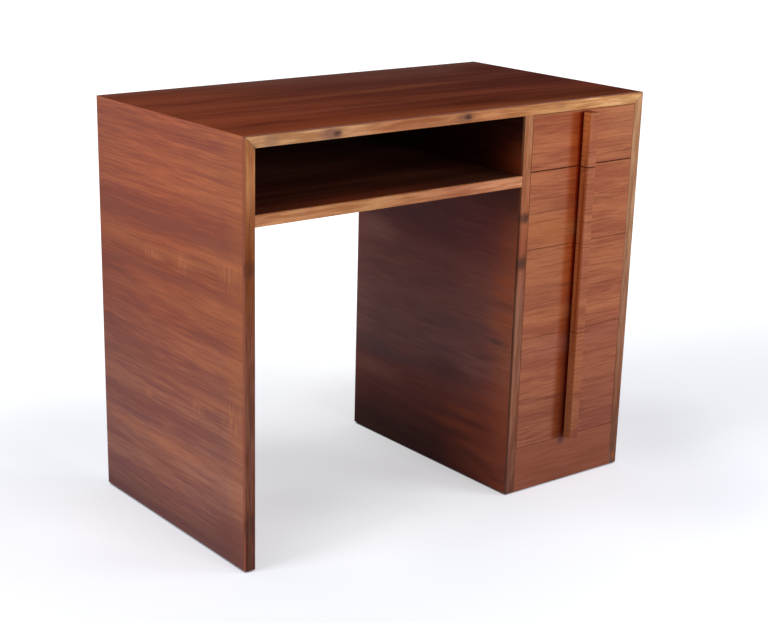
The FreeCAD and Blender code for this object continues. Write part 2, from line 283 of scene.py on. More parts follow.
# Beech, turned into dowels or sawn into splines, and bare: tan and matt
BEECH = {"dark": "#B98A5C", "mid": "#CCA274", "light": "#D8B388", "line": "#A87A4C", "pore": "#9A6E44"}

# Painted shade down the drawer fronts and down the handle, which both darken a little towards the floor
FRONT_PAINTED_SHADE = ("Z", UNDERSIDE, PLINTH_TOP, [
    (0.0, "#FFF5EC"), (0.2, "#FFFEFA"), (0.45, "#F3F1EF"), (0.7, "#F4F4FB"), (1.0, "#DEE3F2"),
])
HANDLE_PAINTED_SHADE = ("Z", UNDERSIDE, PLINTH_TOP, [
    (0.0, "#FFFFFF"), (0.4, "#FCFCFC"), (0.75, "#EAE6E6"), (1.0, "#D0CCD2"),
])

# How strongly each feature shows, and its size along and across the grain in millimetres. Teak's vessels are
# about 0.3 mm wide; they are drawn at 0.7 mm, the least that shows in a picture of the desk.
VENEER = {
    "wave": (600, 150), "wave_reach": 9, "band": (420, 50), "streak": (100, 16), "fibre": (80, 2.6),
    "weights": (0.28, 0.22, 0.50), "blot_wave": (150, 40), "blot_reach": 22,
    "line_gap": 6.5, "line_run": 150, "line_drift": 1.5, "line_from": 0.45, "line_amount": 0.26,
    "ripple": (40, 7.5), "ripple_at": (), "ripple_tone": "#C87E52", "ripple_amount": 0.42,
    "pore": (9, 0.7), "pore_amount": 0.22, "roughness": (0.50, 0.62), "gloss": 0.08,
}
INNER_VENEER = dict(VENEER, gloss=0.07)
TOP_VENEER = dict(
    VENEER, band=(900, 110), streak=(600, 60), fibre=(300, 24), weights=(0.34, 0.33, 0.33), line_gap=60,
    line_run=500, line_from=0.05, line_amount=0.25, gloss=0.0,
)
SHELF_VENEER = dict(TOP_VENEER, line_amount=0.20, pore_amount=0.10)
FRONT_VENEER = dict(
    VENEER, wave=(220, 60), wave_reach=3, band=(240, 34), streak=(110, 7), fibre=(45, 2.2),
    weights=(0.40, 0.20, 0.40), line_gap=9.0, line_run=80, line_drift=0.8, line_from=0.66, line_amount=0.50,
    gloss=0.05,
)
STRIP = dict(
    VENEER, wave=(200, 30), wave_reach=4, band=(90, 12), streak=(60, 4), fibre=(40, 1.2),
    weights=(0.42, 0.34, 0.24), blot_wave=(25, 12), blot_reach=3,
    line_gap=5.5, line_run=70, line_from=0.5, line_amount=0.30,
)
PLAIN = dict(VENEER, band=(500, 70), line_amount=0.12, pore_amount=0.12, gloss=0.03)
PORE_DEPTH = 0.15 * MM


def wood(name, grain, across, cut_at, tones, look, marks=(), runs=(), knots=()):
    """A wood whose fibres run along one axis, with its growth rings across another.

    cut_at is where in the log its sheet comes from. marks are (shape, its sizes, colour, amount). runs are
    (axis, start, end, stops), tones along a piece that multiply its figure. knots are (centre, radii).
    """
    made, tree, shader = start_material(name)
    spot = node(tree, "ShaderNodeTexCoord"), "Object"
    rounded = round_knots(tree, spot, knots)
    cut = node(tree, "ShaderNodeVectorMath", {"operation": "ADD"}, {0: rounded, 1: cut_at}), 0
    flow = wander(tree, cut, grain, across, look["wave"], look["wave_reach"])
    band = figure(tree, flow, grain, look["band"], 3.0, 0.34, 0.66)
    streak = figure(tree, flow, grain, look["streak"], 3.0, 0.32, 0.68)
    fibre = figure(tree, flow, grain, look["fibre"], 2.0, 0.25, 0.75)
    value = blend_layers(tree, list(zip((band, streak, fibre), look["weights"])))
    stops = [(0.25, tones["dark"]), (0.5, tones["mid"]), (0.75, tones["light"])]
    colour = node(tree, "ShaderNodeValToRGB", {}, {"Fac": value}, linear_stops(stops)), "Color"
    split = node(tree, "ShaderNodeSeparateXYZ", {}, {0: spot})
    for axis, start, end, stops in runs:
        sockets = {"Value": (split, AXES.index(axis)), "From Min": start * MM, "From Max": end * MM}
        along = node(tree, "ShaderNodeMapRange", {}, sockets)
        shades = node(tree, "ShaderNodeValToRGB", {}, {"Fac": (along, 0)}, linear_stops(stops)), "Color"
        settings = {"data_type": "RGBA", "blend_type": "MULTIPLY"}
        sockets = {"Factor": 1.0, MIX_A: colour, MIX_B: shades}
        colour = node(tree, "ShaderNodeMix", settings, sockets), MIX_OUT
    loose = wander(tree, spot, grain, across, look["blot_wave"], look["blot_reach"])
    for shape, sizes, code, amount in marks:
        # Ovals wander with the wood's waves, and slices keep their exact place
        place = loose if shape is oval_mark else spot
        colour = tint(tree, colour, code, shape(tree, place, *sizes), amount)
    lines = growth_lines(tree, flow, grain, across, look)
    colour = tint(tree, colour, tones["line"], lines, look["line_amount"])
    # Ripple: short pale bars across the grain, only in the patches that a look names
    bars = figure(tree, flow, across, look["ripple"], 2.0, 0.35, 0.65)
    for sizes in look["ripple_at"]:
        sockets = {0: bars, 1: oval_mark(tree, loose, *sizes)}
        shown = node(tree, "ShaderNodeMath", {"operation": "MULTIPLY"}, sockets), 0
        colour = tint(tree, colour, look["ripple_tone"], shown, look["ripple_amount"])
    # Open pores
    pore = figure(tree, flow, grain, look["pore"], 1.0, 0.60, 0.70)
    colour = tint(tree, colour, tones["pore"], pore, look["pore_amount"])
    tree.links.new(colour[0].outputs[colour[1]], shader.inputs["Base Color"])
    smooth, rough = look["roughness"]
    sheen = node(tree, "ShaderNodeMapRange", {}, {"Value": fibre, "To Min": smooth, "To Max": rough})
    tree.links.new(sheen.outputs[0], shader.inputs["Roughness"])
    relief = blend_layers(tree, [(fibre, 0.5), (pore, -0.5)])
    bump = node(tree, "ShaderNodeBump", {}, {"Strength": 0.25, "Distance": PORE_DEPTH, "Height": relief})
    tree.links.new(bump.outputs[0], shader.inputs["Normal"])
    shader.inputs["IOR"].default_value = 1.5
    shader.inputs["Specular IOR Level"].default_value = look["gloss"]
    return made


def steel(name, code, roughness, mottle_mm):
    """Zinc-plated steel: pale grey metal whose plating is slightly mottled and dulls the reflections."""
    made, tree, shader = start_material(name)
    spot = node(tree, "ShaderNodeTexCoord")
    cloud = node(
        tree, "ShaderNodeTexNoise", {},
        {"Vector": (spot, "Object"), "Scale": 1 / (mottle_mm * MM), "Detail": 3.0},
    )
    stops = [(0.35, shade(code, 0.9)), (0.65, linear(code))]
    colour = node(tree, "ShaderNodeValToRGB", {}, {"Fac": (cloud, 0)}, stops)
    tree.links.new(colour.outputs[0], shader.inputs["Base Color"])
    sockets = {"Value": (cloud, 0), "To Min": roughness, "To Max": roughness + 0.08}
    spread = node(tree, "ShaderNodeMapRange", {}, sockets)
    tree.links.new(spread.outputs[0], shader.inputs["Roughness"])
    shader.inputs["Metallic"].default_value = 1.0
    return made


def moulded_plastic(name, code, grit_mm):
    """Polypropylene, moulded: a dark matt skin with the fine grit of its mould."""
    made, tree, shader = start_material(name)
    spot = node(tree, "ShaderNodeTexCoord")
    grit = node(
        tree, "ShaderNodeTexNoise", {},
        {"Vector": (spot, "Object"), "Scale": 1 / (grit_mm * MM), "Detail": 2.0},
    )
    stops = [(0.4, linear(code)), (0.7, shade(code, 1.6))]
    colour = node(tree, "ShaderNodeValToRGB", {}, {"Fac": (grit, 0)}, stops)
    tree.links.new(colour.outputs[0], shader.inputs["Base Color"])
    bump = node(tree, "ShaderNodeBump", {}, {"Strength": 0.3, "Distance": 0.1 * MM, "Height": (grit, 0)})
    tree.links.new(bump.outputs[0], shader.inputs["Normal"])
    shader.inputs["Roughness"].default_value = 0.6
    shader.inputs["IOR"].default_value = 1.49
    return made


# Dressing

JOIN_DISTANCE = 0.01 * MM
SHARP_EDGE = math.radians(50)


def dress(name, material, easing=0.0):
    """Gives a piece its finish and wears its sharp edges round."""
    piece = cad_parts[name]
    piece.data.materials.clear()
    piece.data.materials.append(material)
    if not easing:
        return
    weld = piece.modifiers.new("join faces", "WELD")
    weld.merge_threshold = JOIN_DISTANCE
    ease = piece.modifiers.new("eased edges", "BEVEL")
    ease.width = easing
    ease.segments = 2
    ease.limit_method = "ANGLE"
    ease.angle_limit = SHARP_EDGE
    ease.use_clamp_overlap = False


def drawer_piece(number, part):
    """The name of one drawer's piece."""
    return f"drawer_{number}_{part}"


class DeskFinish(bpy.types.PropertyGroup):
    """How round the edges of the desk's pieces are worn."""

    board_easing: FloatProperty(
        name="Board easing", description="Radius to which the boards' edges are sanded",
        default=0.6 * MM, min=0.0, subtype="DISTANCE", unit="LENGTH",
    )
    box_easing: FloatProperty(
        name="Box easing", description="Radius to which the drawer boxes' edges are sanded",
        default=0.5 * MM, min=0.0, subtype="DISTANCE", unit="LENGTH",
    )
    handle_easing: FloatProperty(
        name="Handle easing", description="Radius to which the ends of the handle strips are sanded",
        default=0.3 * MM, min=0.0, subtype="DISTANCE", unit="LENGTH",
    )
    metal_easing: FloatProperty(
        name="Metal easing", description="Radius on the edges of rails and glides",
        default=0.15 * MM, min=0.0, subtype="DISTANCE", unit="LENGTH",
    )


class DeskStudio(bpy.types.PropertyGroup):
    """The floor and the light."""

    key_power: FloatProperty(
        name="Key light", description="Power of the light at the right front", default=10.0, unit="POWER",
    )
    front_power: FloatProperty(
        name="Front light", description="Power of the light straight in front", default=15.0, unit="POWER",
    )
    side_power: FloatProperty(
        name="Side light", description="Power of the light at the left", default=22.0, unit="POWER",
    )
    ambient: FloatProperty(name="Ambient", description="Strength of the light from all round", default=0.28)
    floor_colour: FloatVectorProperty(
        name="Floor", description="Colour of the studio floor",
        size=4, subtype="COLOR", default=linear("#EEF3FF"),
    )
    floor_radius: FloatProperty(
        name="Floor radius", description="Radius of the floor",
        default=12.0, subtype="DISTANCE", unit="LENGTH",
    )


class DESK_OT_top(bpy.types.Operator):
    """Veneers the top"""

    bl_idname = "desk.top"
    bl_label = "Top"

    def execute(self, context):
        easing = context.scene.desk_finish.board_easing
        # Redder at the left front, and greyer at the back right, where a reflection of the white surroundings
        # is painted
        runs = (
            ("X", LEFT, RIGHT, [(0.0, "#FCF8F8"), (0.45, "#F0EDEE"), (1.0, "#E2E8F4")]),
            ("Y", BACK, FRONT, [
                (0.0, "#D1F0FF"), (0.2, "#F2EBEB"), (0.3, "#DBD3D8"), (0.6, "#DCC8C1"), (0.72, "#EED3CD"),
                (0.85, "#DBC6B1"), (1.0, "#FBDCB9"),
            ]),
        )
        # Dark and pale growth bands, as (x, y), (length, width)
        dark = (
            ((150, 76), (200, 22), 0.45), ((290, 108), (180, 26), 0.50), ((230, -34), (240, 22), 0.35),
            ((60, -158), (330, 22), 0.28), ((-350, 98), (120, 18), 0.50), ((-330, -34), (150, 20), 0.45),
            ((-360, -155), (160, 22), 0.60), ((400, 160), (120, 100), 0.50),
        )
        pale = (((0, 43), (440, 18)), ((0, -87), (420, 22)), ((60, -205), (480, 22)))
        marks = (
            (slice_mark, ((1, 0, 0), LEFT, 0, 430), "#BC5E3C", 0.45),
            # Painted reflection: a grey sheen over the back right, and a pale painted highlight along the
            # back edge
            *blots(THROUGH_TOP, [((220, 270), (640, 260))], "#8E5A52", 0.70),
            (slice_mark, ((0, 1, 0), BACK, 5, 40), "#A07068", 0.40),
            *blots(THROUGH_TOP, dark, "#6A3226"),
            *blots(THROUGH_TOP, pale, "#C8744A", 0.30),
        )
        finish = wood("teak veneer, top", "X", "Y", (0.3, 0.1, 0.0), TEAK_TOP, TOP_VENEER, marks, runs)
        dress("top_panel", finish, easing)
        return {"FINISHED"}


class DESK_OT_sides(bpy.types.Operator):
    """Veneers the two sides and the divider, with the grain running from front to back"""

    bl_idname = "desk.sides"
    bl_label = "Sides and divider"

    def execute(self, context):
        easing = context.scene.desk_finish.board_easing
        # The left side's dark growth bands, pale stretches and ripple, as (y, z), (length, height)
        bands = (
            ((20, 733), (280, 16), 0.45), ((0, 562), (480, 22), 0.50), ((60, 470), (480, 18), 0.50),
            ((150, 378), (260, 22), 0.40), ((0, 302), (480, 22), 0.35), ((90, 206), (420, 20), 0.40),
            ((40, 118), (420, 18), 0.30), ((200, 560), (120, 18), 0.20), ((220, 466), (110, 14), 0.25),
        )
        pale = (
            ((-150, 684), (260, 34)), ((-60, 640), (300, 24)), ((0, 512), (440, 20)), ((0, 428), (440, 26)),
            ((-120, 345), (240, 16)), ((40, 160), (400, 20)), ((-150, 535), (140, 36)),
            ((-150, 455), (130, 24)), ((-110, 280), (110, 22)),
        )
        ripple = (
            ((70, 508), (40, 24)), ((-40, 506), (50, 30)), ((-185, 515), (60, 45)), ((-78, 258), (40, 24)),
            ((-194, 270), (50, 45)), ((90, 245), (20, 20)),
        )
        left_marks = (
            # Painted light along the front of the board
            (slice_mark, ((0, 1, 0), BOARD_FRONT, 6, 60), "#C4703C", 0.25),
            # Painted shade along the foot of the board, where it stands on the floor
            (slice_mark, ((0, 0, 1), FLOOR, 6, 70), "#5A3638", 0.65),
            *blots(THROUGH_SIDES, bands, "#84493A"),
            *blots(THROUGH_SIDES, pale, "#C4764C", 0.30),
            # Deeper painted shade low at the front of the board
            *blots(THROUGH_SIDES, [((-200, 50), (150, 80))], "#6A3A34", 0.55),
        )
        left_look = dict(
            VENEER, band=(900, 40), streak=(420, 12), weights=(0.27, 0.27, 0.46),
            ripple_at=[through(THROUGH_SIDES, *patch) for patch in ripple],
        )
        # The divider's growth bands, with painted shade at its foot and under the shelf, painted warm light
        # near its front edge, and a pale painted reflection towards its back
        shades = (
            ((-60, 100), (210, 110), "#562119", 0.25), ((-185, 45), (190, 130), "#944A37", 0.85),
            ((-30, 200), (150, 34), "#452B28", 0.45), ((-184, 206), (70, 30), "#A8483A", 0.30),
            ((-182, 338), (60, 18), "#C8744A", 0.40), ((-181, 303), (48, 11), "#4A4040", 0.60),
            ((190, 442), (110, 40), "#D69A86", 0.30), ((190, 152), (130, 36), "#C08673", 0.30),
            ((-215, 610), (240, 120), "#2D1617", 0.85), ((90, 500), (330, 32), "#603E40", 0.30),
            ((160, 192), (200, 24), "#625053", 0.50), ((-60, 306), (170, 24), "#64494C", 0.45),
            ((30, 370), (300, 20), "#6D5053", 0.30),
        )
        # Orange and dark streaks that lick back from the divider's front edge, as (y, z), (length, height)
        flames = (
            ((-200, 425), (60, 18), 0.50), ((-200, 392), (70, 14), 0.45), ((-205, 350), (45, 14), 0.40),
            ((-160, 172), (90, 16), 0.25), ((-110, 140), (120, 18), 0.28), ((-70, 100), (150, 16), 0.28),
            ((-150, 66), (110, 14), 0.25),
        )
        shadows = (
            ((-205, 372), (40, 10), 0.35), ((-160, 262), (80, 14), 0.35), ((-130, 120), (110, 12), 0.30),
            ((-60, 78), (110, 12), 0.30), ((-150, 42), (110, 14), 0.35), ((-195, 24), (60, 12), 0.45),
        )
        cubby_middle, cubby_half = (UNDERSIDE + SHELF_TOP) / 2, (UNDERSIDE - SHELF_TOP) / 2
        divider_marks = (
            # Painted warm light along the divider's front edge
            (slice_mark, ((0, 1, 0), BOARD_FRONT, 10, 80), "#C06238", 0.42),
            *blots(THROUGH_SIDES, shades),
            # Where the divider closes the cubby it is painted in deep shade, with painted warm light near the
            # cubby's front and the deepest painted shade right under the top
            (slice_mark, ((0, 0, 1), cubby_middle, cubby_half, 0.3), "#300A03", 0.88),
            *blots(THROUGH_SIDES, [((-224, 638), (110, 62))], "#9C4526", 0.75),
            (slice_mark, ((0, 0, 1), UNDERSIDE, 4, 50), "#120402", 0.60),
            # A strip of plain veneer closes the back edge
            (slice_mark, ((0, 1, 0), BACK, 1.5, 0.5), "#8A5040", 0.90),
            *blots(THROUGH_SIDES, flames, "#C2602F"),
            *blots(THROUGH_SIDES, shadows, "#3A1A14"),
        )
        # Painted light, paler towards the front; the divider's bluish tones towards the back are a painted
        # reflection of the white surroundings
        outer_painted_light = ("Y", BACK, BOARD_FRONT, [(0.0, "#E2E3EF"), (0.5, "#F7F0F0"), (1.0, "#F2F9FF")])
        divider_painted_light = ("Y", BACK, BOARD_FRONT, [
            (0.0, "#C8CEFC"), (0.6, "#C4C5F1"), (0.9, "#E4DAFD"), (1.0, "#F0EDFF"),
        ])
        # Painted light and shade by height: the left side is warmer towards its top, and the divider is
        # darkest at its foot and under the shelf
        outer_painted_light_by_height = ("Z", TOP, FLOOR, [
            (0.0, "#FFEEC9"), (0.2, "#F9E5C0"), (0.33, "#E8D3AE"), (0.45, "#ECDBBA"), (0.6, "#E6EAD9"),
            (0.8, "#EAFCF6"), (1.0, "#DBF0F2"),
        ])
        divider_painted_shade_by_height = ("Z", SHELF_BOTTOM, FLOOR, [
            (0.0, "#CCBCC3"), (0.2, "#D3BCC4"), (0.35, "#F9F5EE"), (0.6, "#EDFCFF"), (0.75, "#D3B4AD"),
            (0.84, "#B2938A"), (0.93, "#745C54"), (1.0, "#6E534F"),
        ])
        outer_runs, inner_runs = (outer_painted_light, outer_painted_light_by_height), (divider_painted_light, divider_painted_shade_by_height)
        for name, cut_at, tones, look, marks, runs in (
            ("left_side_panel", (0.0, 0.0, 0.0), TEAK_SIDE, left_look, left_marks, outer_runs),
            ("right_side_panel", (0.0, 1.1, 0.6), TEAK_SIDE, VENEER, (), outer_runs),
            ("divider_panel", (0.0, 2.3, 1.2), TEAK_DIVIDER, INNER_VENEER, divider_marks, inner_runs),
        ):
            called = "teak veneer, " + name.replace("_panel", "")
            dress(name, wood(called, "Y", "Z", cut_at, tones, look, marks, runs), easing)
        return {"FINISHED"}


class DESK_OT_inner_boards(bpy.types.Operator):
    """Finishes the shelf, the backs and the base"""

    bl_idname = "desk.inner_boards"
    bl_label = "Shelf, backs and base"

    def execute(self, context):
        easing = context.scene.desk_finish.board_easing
        # Painted light on the middle of the shelf's front, which makes it a paler, warmer brown
        shelf_front_painted_light = (oval_mark, ((-215, BOARD_FRONT, SHELF_TOP), (270, 80, 60)), "#92482F", 0.85)
        depth_run = ("Y", CUBBY_BACK, BOARD_FRONT, [
            (0.0, "#FFFFFF"), (0.4, "#EEE2D4"), (0.7, "#E3CEB4"), (1.0, "#E3CEB4"),
        ])
        cut_at = (0.7, 0.4, 0.0)
        shelf = wood("teak veneer, shelf", "X", "Y", cut_at, TEAK_SHELF, SHELF_VENEER, (shelf_front_painted_light,), (depth_run,))
        # The backs are painted in deep shade inside, nearly black, and are bare veneer outside
        painted_shade_run = ("Y", CUBBY_BACK, BACK, [(0.0, "#66B8E0"), (0.9, "#66B8E0"), (1.0, "#FFFFFF")])
        backs = wood("teak veneer, backs", "X", "Z", (1.7, 0.0, 0.4), TEAK_BACK, PLAIN, (), (painted_shade_run,))
        dress("cubby_shelf", shelf, easing)
        for name in ("cubby_back", "pedestal_back", "pedestal_base"):
            dress(name, backs, easing)
        return {"FINISHED"}


class DESK_OT_edge_strips(bpy.types.Operator):
    """Finishes the pale strips on the front edges"""

    bl_idname = "desk.edge_strips"
    bl_label = "Edge strips"

    def execute(self, context):
        easing = context.scene.desk_finish.board_easing
        # The glue line of the left mitre, from the outer to the inner corner
        mitre = (slice_mark, ((1, 0, 1), (TOP + LEFT) / math.sqrt(2), 0.4, 1.2), "#7A4A2C", 0.55)
        corner = (CUBBY_LEFT - 1, STRIPS_AHEAD, UNDERSIDE + 1)
        inner_mitre = (oval_mark, (corner, (8, 40, 8)), "#6A4030", 0.55)
        # The veneer of the top and of the side laps over the strips' outer faces
        upper_line = (slice_mark, ((0, 0, 1), TOP, 0.7, 1.3), "#7C3E27", 0.85)
        side_lap = (slice_mark, ((1, 0, 0), LEFT, 0.3, 0.5), "#96523C", 0.9)
        # Knots, their dark hearts and other dark spots, as (x, z), (width, height)
        knot_spots = (((-272, 745), (40, 12)), ((12, 746), (42, 12)))
        top_knots = [through(THROUGH_STRIPS, *spot) for spot in knot_spots]
        top_marks = (upper_line, mitre, inner_mitre, *blots(THROUGH_STRIPS, (
            ((-398, 744), (22, 16), "#9A6C58", 0.55, 0.3), ((-282, 744), (34, 16), "#80584C", 0.75, 0.2),
            ((-268, 743), (14, 9), "#3C2220", 0.85, 0.1), ((8, 745), (32, 12), "#7A5240", 0.75, 0.1),
            ((14, 745), (14, 7), "#36201A", 0.85, 0.1), ((-80, 740), (110, 7), "#8F5537", 0.5),
            ((236, 746), (22, 8), "#97603F", 0.6),
        )))
        top_run = ("X", LEFT, RIGHT, [
            (0.0, "#DBA877"), (0.14, "#E2B283"), (0.25, "#D8A074"), (0.36, "#C58359"), (0.5, "#BE8358"),
            (0.58, "#D19264"), (0.68, "#C88E5B"), (0.86, "#F0C088"), (1.0, "#E4B682"),
        ])
        left_marks = (side_lap, mitre, inner_mitre, *blots(THROUGH_STRIPS, (
            ((-440, 537), (26, 22), "#5A2A18", 0.7, 0.2), ((-440, 86), (26, 30), "#4A2A24", 0.5, 0.2),
        )))
        # Down the upright strips the wood's own tones mix with painted shade, which darkens them towards the
        # floor
        left_run = ("Z", TOP, FLOOR, [
            (0.0, "#CD8E5D"), (0.10, "#CE8F5C"), (0.17, "#A9683F"), (0.25, "#8E4E24"), (0.33, "#824721"),
            (0.45, "#894F3A"), (0.6, "#835546"), (0.8, "#784736"), (1.0, "#623C34"),
        ])
        glue_line = (slice_mark, ((1, 0, 0), DIVIDER_LEFT, 0.8, 1.6), "#5A2E20", 0.40)
        divider_marks = (glue_line, *blots(THROUGH_STRIPS, (
            ((160, 547), (26, 15), "#40241A", 0.85, 0.2), ((160, 462), (26, 20), "#40261E", 0.80, 0.2),
        )))
        divider_run = ("Z", UNDERSIDE, FLOOR, [
            (0.0, "#BD8761"), (0.18, "#AE6E4B"), (0.32, "#995539"), (0.5, "#956754"), (0.75, "#95644E"),
            (1.0, "#764C43"),
        ])
        right_run = ("Z", TOP, FLOOR, [
            (0.0, "#C99E78"), (0.3, "#B28D6E"), (0.55, "#A47860"), (0.8, "#8A5A44"), (1.0, "#795A50"),
        ])
        right_marks = blots(THROUGH_STRIPS, [((441, 20), (7, 14), "#A5532B", 0.6, 0.2)])
        shelf_run = ("X", CUBBY_LEFT, DIVIDER_LEFT, [
            (0.0, "#D99A6D"), (0.4, "#CF9868"), (0.7, "#C1815E"), (1.0, "#E1A27C"),
        ])
        for name, grain, across, cut_at, marks, run, knots in (
            ("top_lipping", "X", "Z", (0.0, 0.0, 0.0), top_marks, top_run, top_knots),
            ("shelf_lipping", "X", "Z", (1.3, 0.0, 0.3), (), shelf_run, ()),
            ("left_side_lipping", "Z", "X", (0.0, 0.0, 0.4), left_marks, left_run, ()),
            ("right_side_lipping", "Z", "X", (0.9, 0.0, 1.1), right_marks, right_run, ()),
            ("divider_lipping", "Z", "X", (0.5, 0.0, 2.1), divider_marks, divider_run, ()),
        ):
            called = "teak sapwood, " + name
            finish = wood(called, grain, across, cut_at, SAPWOOD, STRIP, marks, (run,), knots)
            dress(name, finish, easing)
        return {"FINISHED"}


class DESK_OT_drawer_fronts(bpy.types.Operator):
    """Veneers the drawer fronts and the plinth"""

    bl_idname = "desk.drawer_fronts"
    bl_label = "Drawer fronts and plinth"

    def execute(self, context):
        easing = context.scene.desk_finish.board_easing
        # Painted shadow of the handle: orange beside the finger groove, and deep red in it
        shadow_left = plane("drawer_1_handle", LOW, "X") - 31.5
        shadow_right = plane("drawer_1_handle", HIGH, "X") + 1.5
        painted_shade_run = ("X", shadow_left, shadow_right, [
            (0.0, "#FFFFFF"), (0.08, "#FDF8F3"), (0.17, "#F7DABF"), (0.26, "#F2C790"), (0.49, "#FDC48E"),
            (0.55, "#E1793F"), (0.80, "#FF6927"), (0.9, "#FFFFFF"),
        ])
        # Growth bands, the paler upper right and darker lower right, and the handle's painted shadow left of
        # it, as (x, z), (width, height)
        marks = blots(THROUGH_FRONTS, (
            ((300, 556), (260, 9), "#6E3626", 0.45), ((300, 409), (260, 8), "#703826", 0.40),
            ((260, 178), (200, 12), "#6A3428", 0.50), ((240, 520), (150, 34), "#B87040", 0.45),
            ((300, 352), (260, 34), "#B46E48", 0.35), ((300, 285), (260, 34), "#955A4E", 0.45),
            ((430, 130), (190, 250), "#84483A", 0.45), ((430, 735), (150, 150), "#CC9468", 0.26),
            ((172, 735), (140, 90), "#86442E", 0.15), ((289, 190), (16, 360), "#4E1C0C", 0.50, 0.2),
            ((278, 150), (26, 300), "#4E1C0C", 0.30, 0.2),
        ))
        # Painted shadow under the handle's lower end, which the plinth shares
        shadow_under_handle = blots(THROUGH_FRONTS, [((289, 90), (10, 10), "#4A3046", 0.60, 0.2)])
        for number in DRAWERS:
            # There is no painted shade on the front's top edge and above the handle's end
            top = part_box(drawer_piece(number, "front"))[1][2] / MM
            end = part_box(drawer_piece(number, "handle"))[1][2] / MM
            bare = (slice_mark, ((0, 0, 1), top, top - end + 0.2, 0.3), "#A0603F", 0.90)
            cut_at = (0.37 * number, 0.0, 0.23 * number)
            called = f"teak veneer, drawer front {number}"
            shown = (*marks, *shadow_under_handle, bare)
            finish = wood(called, "X", "Z", cut_at, TEAK_FRONT, FRONT_VENEER, shown, (FRONT_PAINTED_SHADE, painted_shade_run))
            dress(drawer_piece(number, "front"), finish, easing)
        plinth = wood("teak veneer, plinth", "X", "Z", (2.2, 0.0, 0.9), TEAK_PLINTH, PLAIN, shadow_under_handle)
        dress("plinth_board", plinth, easing)
        return {"FINISHED"}


class DESK_OT_handles(bpy.types.Operator):
    """Finishes the handle strips"""

    bl_idname = "desk.handles"
    bl_label = "Handles"

    def execute(self, context):
        easing = context.scene.desk_finish.handle_easing
        # Places in the handle's section: its left side, the middles of its lip and of its finger groove, and
        # the end of the groove
        left = plane("drawer_1_handle", LOW, "X")
        lip, groove = plane("drawer_1_handle", LOW, "Y") + 9.5, FRONT - 3.5
        groove_end = left + 11
        marks = (
            # The lip's sides show the tan core, brightened with painted light that makes them paler at the
            # top
            (slice_mark, ((0, 1, 0), lip, 7.5, 1.5), "#BA6A3B", 0.88),
            (oval_mark, ((left, lip, 770), (14, 13, 200), 0.3), "#E18549", 0.90),
            # An orange glue line behind the front veneer
            (oval_mark, ((left + 6.5, lip - 2, 470), (17, 4.4, 290), 0.4), "#993D0F", 0.85),
            # Painted shade dulls the core at the foot, with a brown patch above it
            (oval_mark, ((left, lip, 100), (14, 13, 260), 0.3), "#A86844", 0.85),
            (oval_mark, ((left + 5.5, lip, 320), (40, 14, 90)), "#7A3A1C", 0.35),
            # The groove is painted in deep red shade
            (oval_mark, ((groove_end, groove, 412), (4, 7, 3000), 0.6), "#BC1202", 0.92),
        )
        # The top end of each stretch shows darker end grain
        ends = [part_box(drawer_piece(number, "handle"))[1][2] / MM for number in DRAWERS]
        marks += tuple((slice_mark, ((0, 0, 1), end, 0.2, 0.3), "#8A4A30", 0.90) for end in ends)
        called, cut_at = "teak veneer, handle", (0.2, 0.0, 0.1)
        finish = wood(called, "X", "Z", cut_at, TEAK_FRONT, FRONT_VENEER, marks, (HANDLE_PAINTED_SHADE,))
        for number in DRAWERS:
            dress(drawer_piece(number, "handle"), finish, easing)
        return {"FINISHED"}


class DESK_OT_drawer_boxes(bpy.types.Operator):
    """Finishes the drawer boxes"""

    bl_idname = "desk.drawer_boxes"
    bl_label = "Drawer boxes"

    def execute(self, context):
        easing = context.scene.desk_finish.box_easing
        sides = wood("birch, drawer sides", "Y", "Z", (0.0, 0.0, 0.0), BIRCH, PLAIN)
        ends = wood("birch, drawer ends", "X", "Z", (0.0, 0.0, 0.5), BIRCH, PLAIN)
        bottoms = wood("birch plywood, drawer bottoms", "Y", "X", (0.5, 0.0, 0.0), BIRCH, PLAIN)
        for number in DRAWERS:
            for part, finish in (
                ("left_side", sides),
                ("right_side", sides),
                ("box_front", ends),
                ("box_back", ends),
                ("bottom", bottoms),
            ):
                dress(drawer_piece(number, part), finish, easing)
        return {"FINISHED"}


class DESK_OT_rails(bpy.types.Operator):
    """Finishes the telescopic rails"""

    bl_idname = "desk.rails"
    bl_label = "Rails"

    def execute(self, context):
        easing = context.scene.desk_finish.metal_easing
        finish = steel("zinc-plated steel, rails", "#B9BCBE", 0.34, 9)
        dress("fixed_rails", finish, easing)
        for number in DRAWERS:
            dress(drawer_piece(number, "rails"), finish, easing)
            dress(drawer_piece(number, "carriers"), finish, easing)
        return {"FINISHED"}


class DESK_OT_fastenings(bpy.types.Operator):
    """Finishes splines, dowels, screws and glides"""

    bl_idname = "desk.fastenings"
    bl_label = "Fastenings and glides"

    def execute(self, context):
        easing = context.scene.desk_finish.metal_easing
        joinery = wood("beech, dowels and splines", "X", "Z", (0.0, 0.0, 0.0), BEECH, PLAIN)
        dress("mitre_splines", joinery)
        dress("case_dowels", joinery)
        screws = steel("zinc-plated steel, screws", "#C8BFA4", 0.3, 4)
        for name in ["back_screws", "rail_screws"] + [drawer_piece(number, "screws") for number in DRAWERS]:
            dress(name, screws)
        dress("floor_glides", moulded_plastic("moulded polypropylene, glides", "#1C1613", 0.8), easing)
        return {"FINISHED"}


# Studio

# The long shadowed pool on the floor: its middle, its turn in radians, how many times longer than wide it is,
# and the distances from its middle at which its dimness begins to fade and is gone
POOL = {"centre": (0.565, -0.459, 0), "turn": -0.297, "stretch": 5.0, "near": 0.247, "far": 1.958}
POOL_BRIGHTNESS = 0.42

# Distances from the desk's middle at which the floor begins to turn white and is white
FADE_START, FADE_END = 1.4, 3.0


